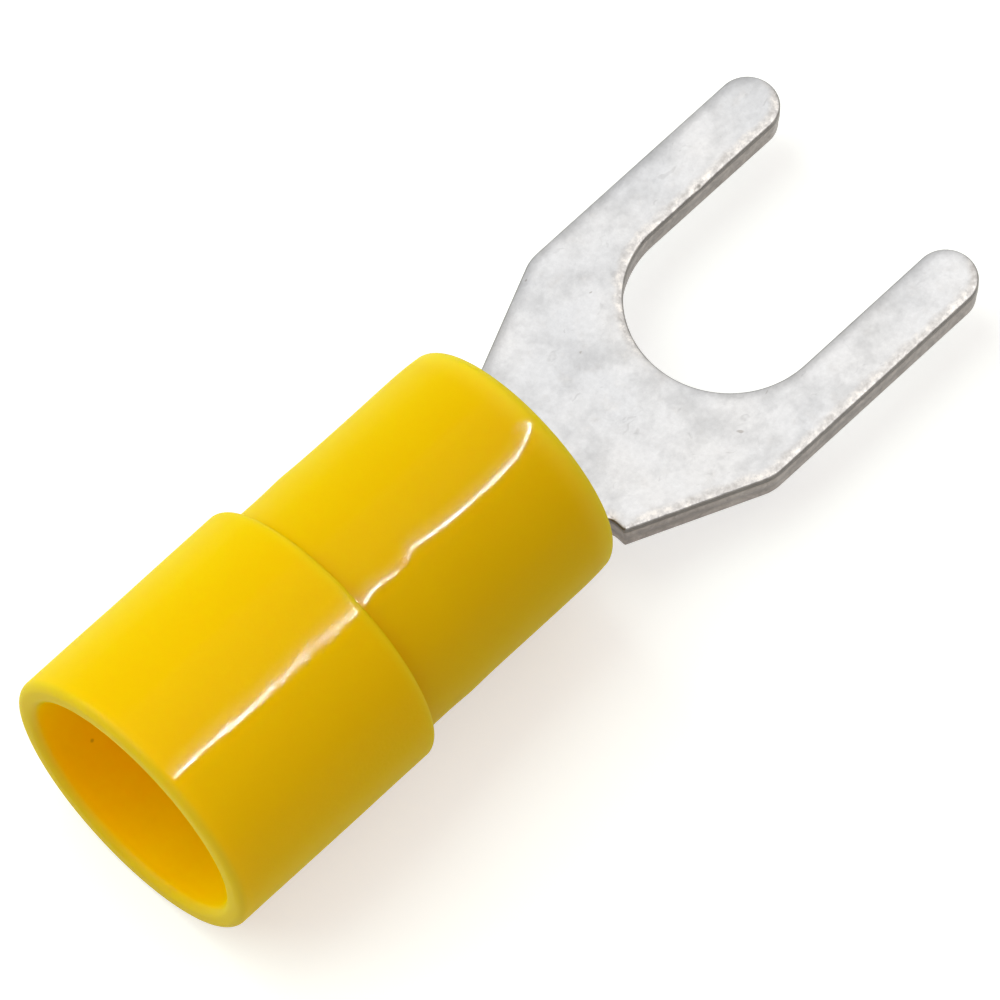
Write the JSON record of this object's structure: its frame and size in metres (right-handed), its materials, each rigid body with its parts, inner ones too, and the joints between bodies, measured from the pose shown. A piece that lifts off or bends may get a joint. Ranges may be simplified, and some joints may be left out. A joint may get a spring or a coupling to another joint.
{
  "type": "insulated fork crimp terminal",
  "caption": "Insulated fork crimp terminal: a stepped yellow vinyl sleeve over a rolled barrel, and a flat tinned fork tongue that slides under a screw head.",
  "frame": {"origin": "middle of the length and width, on the surface that the terminal lies on", "axes": "+X along the barrel from the wire mouth to the prong tips, +Z square to the tongue and up, +Y across the fork"},
  "size_m": [0.026, 0.0086, 0.0078],
  "materials": {
    "yellow_vinyl": "smooth satin-gloss vinyl",
    "tinned_copper": "matt mottled tin plate"
  },
  "bodies": {
    "root": {"insulating_sleeve": "yellow_vinyl", "fork_terminal": "tinned_copper"}
  },
  "joints": []
}
